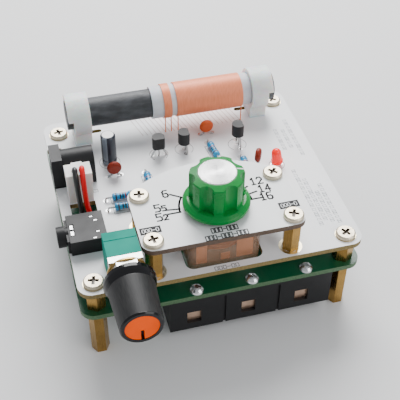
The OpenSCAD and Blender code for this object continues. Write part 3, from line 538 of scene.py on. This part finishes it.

# %% [markdown]
# ## The aerial
# The black sleeve on the rod is matte and a little lumpy. The windings are turns of fine
# enamelled wire, side by side, with here and there a turn that stands proud. Each turn is
# painted lighter on its crest and darker in the groove next to it: painted highlight and shade.

# %% Aerial
rod = Finish("black_rod_sleeve", (0.035, 0.037, 0.042), 0.55)
lumps, fleck = rod.noise(0.0022, 4.0, (0.4, 1.0, 1.0)), rod.noise(0.0004, 3.0)
rod.set(**{"Base Color": rod.blend(rod.range(lumps, 0.35, 0.7), (0.025, 0.027, 0.031), (0.075, 0.08, 0.088)),
           "Roughness": rod.range(fleck, 0.2, 0.8, 0.42, 0.66)})
rod.bump(lumps + fleck * 0.3, 0.0002, 0.5).on("ferrite_rod")

TURN_STEP = 0.42 * MM
coil = Finish("enamelled_wire", (0.72, 0.30, 0.15), 0.5, 0.1)
turns = coil.node("Math", {"operation": "SINE"}, {0: coil.axis("X") * (2 * math.pi / TURN_STEP)})
stray = coil.noise(0.0016, 3.0, (6.0, 0.6, 0.6))
# painted highlight and shade across each turn, plus random tone from stray turns
painted_turn_shade_and_tone = coil.range(turns * 0.25 + stray, 0.1, 0.9)
coil.set(**{"Base Color": coil.blend(painted_turn_shade_and_tone, (0.78, 0.20, 0.075), (0.98, 0.31, 0.15)),
            "Roughness": coil.range(stray, 0.2, 0.8, 0.38, 0.55)})
coil.bump(turns * 0.5 + stray * 0.6, 0.00005, 0.5).on("main_winding", "small_winding")

paper = Finish("paper_sleeve", (0.66, 0.68, 0.72), 0.6, Subsurface_Weight=0.2, Subsurface_Scale=0.002)
fibre, fold = paper.noise(0.0005, 4.0), paper.noise(0.004, 3.0, (0.4, 1.0, 1.0))
paper.set(**{"Base Color": paper.blend(paper.range(fold, 0.3, 0.7), (0.70, 0.71, 0.75), (0.56, 0.58, 0.63))})
paper.bump(fibre * 0.3 + fold, 0.0001, 0.5).on("coil_sleeve")
print("aerial done")

# %% [markdown]
# ## The electrolytic capacitor
# Its shrunk sleeve is navy with one plain pale stripe, which marks the negative lead, and
# it leaves a disc of bare metal on top. The angle round the can places the stripe.

# %% Electrolytic capacitor
can_low, can_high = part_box("electrolytic_capacitor")
can_x, can_y = (can_low.x + can_high.x) / 2, (can_low.y + can_high.y) / 2
navy = Finish("navy_sleeve", (0.012, 0.02, 0.045), 0.3)
dx, dy, height = navy.axis("X") - can_x, navy.axis("Y") - can_y, navy.axis("Z")
angle = navy.node("Math", {"operation": "ARCTAN2"}, {0: dy, 1: dx})
STRIPE_FROM, STRIPE_TO = -2.6, -1.9
BARE_R, BARE_DEPTH = 1.75 * MM, 0.5 * MM
stripe = (angle < STRIPE_TO) * (angle > STRIPE_FROM)
bare = (height > can_high.z - BARE_DEPTH) * ((dx ** 2.0 + dy ** 2.0) ** 0.5 < BARE_R)
patches = navy.noise(0.001, 3.0)
coloured = navy.blend(stripe, (0.006, 0.010, 0.022), (0.22, 0.25, 0.30))
navy.set(**{"Base Color": navy.blend(bare, coloured, (0.72, 0.72, 0.70)),
            "Roughness": 0.28 + patches * 0.15})
navy.bump(patches, 0.00002, 0.4).on("electrolytic_capacitor")
print("can is", round((can_high.z - can_low.z) / MM, 1), "mm tall")

# %% [markdown]
# ## Resistors
# A metal-film resistor is a ceramic rod with a metal cup pushed on each end, dipped in
# lacquer, so it is thicker at both ends. Colour bands give its value. The body is turned
# from a profile, and each band is one row of faces with its own finish.

# %% Resistors
lacquer = plastic_finish("blue_lacquer", (0.006, 0.30, 0.60), 0.26, Coat_Weight=0.3)
bands = [plastic_finish("band_" + n, c, 0.3) for n, c in (
    ("brown", (0.05, 0.014, 0.006)), ("black", (0.008, 0.008, 0.009)), ("red", (0.30, 0.010, 0.008)))]
BODY = [(0.3, -3.2), (0.85, -3.15), (1.1, -2.9), (1.15, -2.5), (1.15, -2.3), (1.15, -1.9),
        (1.05, -1.7), (0.95, -1.4), (0.95, -1.0), (0.95, -0.6), (0.95, -0.2), (0.95, 0.2),
        (0.95, 0.6), (0.95, 1.0), (0.95, 1.4), (1.05, 1.7), (1.15, 1.9), (1.15, 2.3),
        (1.15, 2.5), (1.1, 2.9), (0.85, 3.15), (0.3, 3.2)]
BAND_AT = {4: 0, 8: 1, 10: 1, 12: 2, 17: 0}  # row of faces: which band
FACES_ROUND, AXIS_HEIGHT = 32, 28.45
SPOTS = [(-22.2, -2.1, 0), (-22.2, -6.4, 0), (9.8, 11.9, 96), (-13.2, 2.8, 90), (17.6, 2.4, 90)]
for i, (x, y, lie) in enumerate(SPOTS, 1):
    way = (math.cos(math.radians(lie)), math.sin(math.radians(lie)), 0)
    piece = turned(f"film_resistor_{i}", BODY, (x, y, AXIS_HEIGHT), way, around=FACES_ROUND)
    for f in (lacquer, *bands):
        piece.data.materials.append(f.material)
    for face in piece.data.polygons:
        row = face.index // FACES_ROUND
        face.material_index = BAND_AT[row] + 1 if row in BAND_AT else 0
    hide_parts("resistors")
print("resistors:", len(SPOTS))

# %% [markdown]
# ## Printed marks
# Marks on a board are printed ink, a few hundredths of a millimetre thick. They are thin
# plates on the board, so they stay sharp at any size, and a small stroke alphabet draws
# the dial's numbers. A stroke is a row of short bars with square ends.


# %% Ink
def bar(a, b, width):
    """A bar from a to b, in millimetres, with half its width added at each end."""
    a, b = Vector(a), Vector(b)
    way = (b - a).normalized() * width / 2
    off = Vector((-way.y, way.x))
    return [tuple(p) for p in (a - way - off, b + way - off, b + way + off, a - way + off)]


def arc(x, y, r, start, end, width, n=24):
    """An arc as a row of short bars."""
    turn = [math.radians(start + (end - start) * k / n) for k in range(n + 1)]
    spots = [(x + r * math.cos(a), y + r * math.sin(a)) for a in turn]
    return [bar(a, b, width) for a, b in zip(spots, spots[1:])]


STROKES = {
    "0": [(0.15, 0), (0.45, 0), (0.6, 0.2), (0.6, 0.8), (0.45, 1), (0.15, 1), (0, 0.8), (0, 0.2), (0.15, 0)],
    "1": [(0.1, 0.8), (0.3, 1), (0.3, 0), (0.1, 0), (0.5, 0)],
    "2": [(0, 0.8), (0.15, 1), (0.45, 1), (0.6, 0.8), (0.6, 0.6), (0, 0), (0.6, 0)],
    "4": [(0.6, 0.32), (0, 0.32), (0.45, 1), (0.45, 0)],
    "5": [(0.6, 1), (0, 1), (0, 0.56), (0.45, 0.56), (0.6, 0.42), (0.6, 0.14), (0.45, 0), (0, 0)],
    "6": [(0.55, 1), (0.15, 1), (0, 0.8), (0, 0.15), (0.15, 0), (0.45, 0), (0.6, 0.15),
          (0.6, 0.4), (0.45, 0.54), (0, 0.54)],
    "7": [(0, 1), (0.6, 1), (0.2, 0)],
    "8": [(0.1, 0.54), (0, 0.7), (0, 0.85), (0.15, 1), (0.45, 1), (0.6, 0.85), (0.6, 0.7),
          (0.5, 0.54), (0.1, 0.54), (0, 0.4), (0, 0.15), (0.15, 0), (0.45, 0), (0.6, 0.15),
          (0.6, 0.4), (0.5, 0.54)],
    "9": [(0.6, 0.46), (0.15, 0.46), (0, 0.6), (0, 0.85), (0.15, 1), (0.45, 1), (0.6, 0.85),
          (0.6, 0.2), (0.45, 0), (0.05, 0)]}


DIGIT_WIDE, SQUEEZE, GAP = 0.6, 0.85, 0.6


def number(digits, x, y, tall, width=0.48):
    """Digits centred on x and y; a digit after a comma is small."""
    marks, sizes, small = [], [], False
    for d in digits:
        small = small or d == ","
        if d != ",":
            sizes.append((d, tall * (0.72 if small else 1)))
    left = x - sum(DIGIT_WIDE * t * SQUEEZE + GAP for _, t in sizes) / 2 + GAP / 2
    for d, t in sizes:
        line = [(left + px * t * SQUEEZE, y - tall / 2 + py * t) for px, py in STROKES[d]]
        marks += [bar(a, b, width) for a, b in zip(line, line[1:])]
        left += DIGIT_WIDE * t * SQUEEZE + GAP
    return marks


print("digits:", "".join(STROKES))

# %% [markdown]
# The dial runs from 5.2 at the left to 16 at the right, in the uneven steps that a tuning
# capacitor gives. Each tick points at the shaft. Two arcs join the ticks at the ends of the
# dial, just outside the knob's skirt.

# %% The dial
ink = Finish("printed_ink", (0.01, 0.01, 0.012), 0.6, Specular_IOR_Level=0.2)
worn = ink.noise(0.0012, 4.0)
ink.set(**{"Base Color": ink.blend(ink.range(worn, 0.3, 0.7), (0.006, 0.006, 0.007), (0.02, 0.02, 0.022))})
dial_x, dial_y = shaft_x / MM, shaft_y / MM
dial_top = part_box("dial_plate")[1].z / MM
board_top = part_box("upper_board")[1].z / MM
INK_THICK, THIN_INK = 0.03, 0.02
TICKS = [(0, "16"), (12.6, "14"), (27, "12"), (50, "10"), (73, "8"), (97, "7"), (146, "6"),
         (173, "5,5"), (180, "5,2")]
ARC_R, TICK_FROM, TICK_TO, NUMBER_R = 10.3, 10.2, 13.6, 15.2
SHORT_TO = {"14": 12.8, "12": 11.9, "10": 12.6, "8": 12.6, "7": 12.6}
SPOT = {"16": (14.9, -23.6), "14": (15.4, -20.3), "12": (14.1, -16.8), "6": (-12.3, -15.6),
        "5,5": (-14.9, -20.8), "5,2": (-15.2, -24.4)}
marks = []
for degrees, digits in TICKS:
    c, s = math.cos(math.radians(degrees)), math.sin(math.radians(degrees))
    tick_to = SHORT_TO.get(digits, TICK_TO)
    marks.append(bar((dial_x + TICK_FROM * c, dial_y + TICK_FROM * s),
                     (dial_x + tick_to * c, dial_y + tick_to * s), 0.6))
    x, y = SPOT.get(digits, (dial_x + NUMBER_R * c, dial_y + NUMBER_R * s))
    marks += number(digits, x, y, 2.7)
marks += arc(dial_x, dial_y, ARC_R, 146, 180, 0.55, 12) + arc(dial_x, dial_y, ARC_R, 0, 27, 0.55, 10)
print("dial marks:", len(marks))

# %% [markdown]
# Words on the boards are left as rows of small empty frames and dashes, with no letters.


# %% Rows of blank marks
def blanks(x, y, wide, tall, count, width=0.22, way="X"):
    """count blank characters in a row centred on x and y."""
    made, step = [], wide / count
    for k in range(count):
        a, b = -wide / 2 + step * (k + 0.12), -wide / 2 + step * (k + 0.82)
        if k % 4 == 3:
            lines = [((a, 0), (b, 0))]
        else:
            t = tall / 2
            lines = [((a, -t), (b, -t)), ((b, -t), (b, t)), ((b, t), (a, t)), ((a, t), (a, -t))]
        for p, q in lines:
            if way == "X":
                made.append(bar((x + p[0], y + p[1]), (x + q[0], y + q[1]), width))
            else:
                made.append(bar((x - p[1], y + p[0]), (x - q[1], y + q[0]), width))
    return made


marks += blanks(0, -33.1, 7.6, 1.7, 7, 0.26) + blanks(0, -35.6, 12, 1.7, 11, 0.26)
LABELS = [(-19.4, -28.7), (19.9, -28.5)]
LABEL_X, LABEL_Y = 2.9, 1.3
for x, y in LABELS:
    marks.append([(x - LABEL_X, y - LABEL_Y), (x + LABEL_X, y - LABEL_Y),
                  (x + LABEL_X, y + LABEL_Y), (x - LABEL_X, y + LABEL_Y)])
dial_marks = plates("dial_marks", marks, dial_top, dial_top + INK_THICK)
ink.on(dial_marks)
white_ink = plastic_finish("white_ink", (0.78, 0.79, 0.8), 0.45)
label_marks = plates("label_marks", [m for x, y in LABELS for m in blanks(x, y, 4.8, 1.3, 5, 0.2)],
                     dial_top + 0.02, dial_top + 0.05)
white_ink.on(label_marks)
print("label boxes:", len(LABELS))

# %% [markdown]
# The upper board has fine dark outlines round its parts, and pale grey rows of blank marks
# at the right, in groups of uneven length. Slanting grey lines lie under the aerial.


# %% Upper board marks
def closed(corners, width):
    """Bars round a closed outline."""
    return [bar(p, q, width) for p, q in zip(corners, corners[1:] + corners[:1])]


TRANSISTOR_SPOTS = [(-7.2, 15.3), (1.2, 15.9), (18.3, 13.9)]
outline = blanks(0.1, -36.3, 7.2, 1.2, 6, 0.16)
for x, y in TRANSISTOR_SPOTS:
    outline += arc(x, y, 2.9, -50, 230, 0.12, 28)
outline += arc(-22.9, 15.4, 3.2, 0, 360, 0.12, 36) + arc(27.4, 1.2, 2.4, 0, 360, 0.12, 28)
for x, y, lie in SPOTS:
    c, s = math.cos(math.radians(lie)), math.sin(math.radians(lie))
    corners = [(x + a * c - b * s, y + a * s + b * c)
               for a, b in ((-3.6, -1.6), (3.6, -1.6), (3.6, 1.6), (-3.6, 1.6))]
    outline += closed(corners, 0.14)
outline += closed([(-30.2, 2.8), (-28.8, 2.8), (-28.8, 4.0), (-30.2, 4.0)], 0.12)
thin_ink = plastic_finish("thin_outline_ink", (0.09, 0.095, 0.10), 0.5)
thin_ink.on(plates("board_outlines", outline, board_top, board_top + INK_THICK))

grey_ink = plastic_finish("grey_rows_ink", (0.50, 0.53, 0.56), 0.45)
GROUPS = (1.6, 0.9, 2.2, 1.2)
rows = []
for x, low, high in ((31.4, -27.7, -3), (33.2, -26, -6), (35, -27, -12), (36.9, -28, -10),
                     (37.1, 3.6, 23.2), (34.8, 8, 18), (32.4, 7.4, 19.6)):
    y, k = low, 0
    while y < high - 1:
        group = GROUPS[k % len(GROUPS)]
        rows += blanks(x, y + group / 2, group, 1.0, max(1, round(group / 0.8)), 0.16, "Y")
        y, k = y + group + 0.5, k + 1
grey_ink.on(plates("grey_rows", rows, board_top, board_top + THIN_INK))

hatch_ink = plastic_finish("hatch_ink", (0.58, 0.53, 0.53), 0.45)
hatch = [bar((x, 25.8), (x - 2.5, 35.5), 0.28) for x in [-10 + 1.5 * k for k in range(23)]]
hatch_ink.on(plates("aerial_hatch", hatch, board_top, board_top + THIN_INK))
print("outlines", len(outline), "rows", len(rows), "hatch", len(hatch))

# %% [markdown]
# Every lead goes through a tinned pad. The pads are found from the leads themselves: one
# low point of each lead stands for its hole.

# %% Pads round the leads
PAD_LOW = board_top - 0.01
tips = [v.co / MM for v in nodes["component_leads"].data.vertices if v.co.z / MM < board_top - 2.5]
holes = []
for p in tips:
    near = next((h for h in holes if (h[0] - p.x) ** 2 + (h[1] - p.y) ** 2 < 1.0), None)
    if near is None:
        holes.append([p.x, p.y])


def washer(x, y, inner, outer, low, high, name, n=40):
    """A flat ring."""
    points, faces = [], []
    for k in range(n):
        a = 2 * math.pi * k / n
        for r, z in ((inner, low), (outer, low), (outer, high), (inner, high)):
            points.append(Vector((x + r * math.cos(a), y + r * math.sin(a), z)) * MM)
    for k in range(n):
        m = (k + 1) % n
        for e in range(4):
            d = (e + 1) % 4
            faces.append([k * 4 + e, m * 4 + e, m * 4 + d, k * 4 + d])
    return as_object(name, points, faces, smooth=False)


for i, (x, y) in enumerate(holes, 1):
    tin.on(washer(x, y, 0.42, 0.8, PAD_LOW, board_top + INK_THICK, f"lead_pad_{i}", 24))
gold_pad = metal_finish("tinned_pad", (0.66, 0.58, 0.40), 0.3)
for name, half_x, middle_y, half_y, inner, outer, thick in (
        ("post_pad", POST_X, POST_MIDDLE_Y, POST_HALF_Y, 2.4, 3.35, INK_THICK),
        ("leg_pad", LEG_X, 0, LEG_Y, 1.7, 3.1, THIN_INK)):
    places = [(sx * half_x, middle_y + sy * half_y) for sx in (-1, 1) for sy in (-1, 1)]
    for i, (x, y) in enumerate(places, 1):
        gold_pad.on(washer(x, y, inner, outer, PAD_LOW, board_top + thick, f"{name}_{i}"))
print("lead pads:", len(holes))

# %% [markdown]
# ## The pointer
# The knob has one groove from its cap, over a lobe and down to the skirt, filled with
# white paint. The filling is a thin slice that stops just short of the groove's lip.

# %% Pointer line
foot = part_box("tuning_knob")[0].z / MM


def slice_of(name, outline, width, degrees, body):
    """A slice through the knob's axis: outline lists (radius, height)."""
    c, s = math.cos(math.radians(degrees)), math.sin(math.radians(degrees))
    points = [Vector((dial_x + r * c - side * s, dial_y + r * s + side * c, z)) * MM
              for side in (-width / 2, width / 2) for r, z in outline]
    n = len(outline)
    faces = [list(range(n)), list(range(n, 2 * n))]
    faces += [[i, (i + 1) % n, n + (i + 1) % n, n + i] for i in range(n)]
    return as_object(name, points, faces, body, smooth=False)


pointer = [(5.3, foot + 10.45), (5.3, foot + 11.15), (7.3, foot + 10.6), (7.52, foot + 10.3),
           (7.57, foot + 3.2), (7.4, foot + 3.2), (7.38, foot + 10.2), (7.0, foot + 10.45)]
white_ink.on(slice_of("pointer_line", pointer, 0.56, 1, "tuning_knob"))
print("pointer is", round(pointer[2][0] - pointer[0][0], 1), "mm long on top")

# %% [markdown]
# ## Edges
# Real edges are never perfectly sharp: a small bevel catches a line of light. A bevel
# modifier does this without touching the CAD mesh itself.

# %% Bevels
BEVELS = {"battery_plug": 0.2, "battery_header": 0.15, "rod_bracket_left": 0.9,
          "rod_bracket_right": 0.9, "audio_jack_body": 0.15, "dc_jack_body": 0.25, "pot_body": 0.12,
          "pot_cover": 0.12, "pot_nut": 0.15, "transistor_1": 0.2, "transistor_2": 0.2,
          "transistor_3": 0.2, "tuner_case": 0.12, "upper_board": 0.08, "lower_board": 0.08,
          "dial_plate": 0.08, "legs": 0.1, "board_spacers": 0.1, "dial_posts": 0.1,
          "battery_holder": 0.2}
for name, size in BEVELS.items():
    edge = nodes[name].modifiers.new("edge", "BEVEL")
    edge.width, edge.segments, edge.limit_method = size * MM, 2, "ANGLE"
    edge.angle_limit, edge.harden_normals = math.radians(40), False
print("bevelled:", len(BEVELS))

# %% [markdown]
# ## Stage
# A plain pale floor and broad, soft lights. The strong panel above and behind makes the
# long highlights on glossy parts, and the weaker one in front opens the shadows.

# %% Floor and lights
floor_mesh = bpy.data.meshes.new("floor")
floor_mesh.from_pydata([(-4, -4, 0), (4, -4, 0), (4, 4, 0), (-4, 4, 0)], [], [(0, 1, 2, 3)])
floor = bpy.data.objects.new("floor", floor_mesh)
bpy.context.scene.collection.objects.link(floor)
floor_finish = Finish("pale_floor", (0.72, 0.72, 0.72), 0.7)
floor_finish.on(floor)


def panel(name, spot, size, watts, aim=(0, 0, 0.03)):
    light = bpy.data.lights.new(name, "AREA")
    light.shape, light.size, light.energy = "DISK", size, watts
    lamp = bpy.data.objects.new(name, light)
    lamp.location = spot
    lamp.rotation_euler = (Vector(aim) - Vector(spot)).to_track_quat("-Z", "Y").to_euler()
    bpy.context.scene.collection.objects.link(lamp)


panel("top_panel", (0.1, 0.45, 0.5), 0.5, 9.0)
panel("front_panel", (0.45, -0.45, 0.45), 0.5, 2.2)
world = bpy.data.worlds.new("room")
world.use_nodes = True
world.node_tree.nodes["Background"].inputs["Color"].default_value = (0.85, 0.87, 0.9, 1)
world.node_tree.nodes["Background"].inputs["Strength"].default_value = 0.75
bpy.context.scene.world = world

# %% [markdown]
# ## Finish
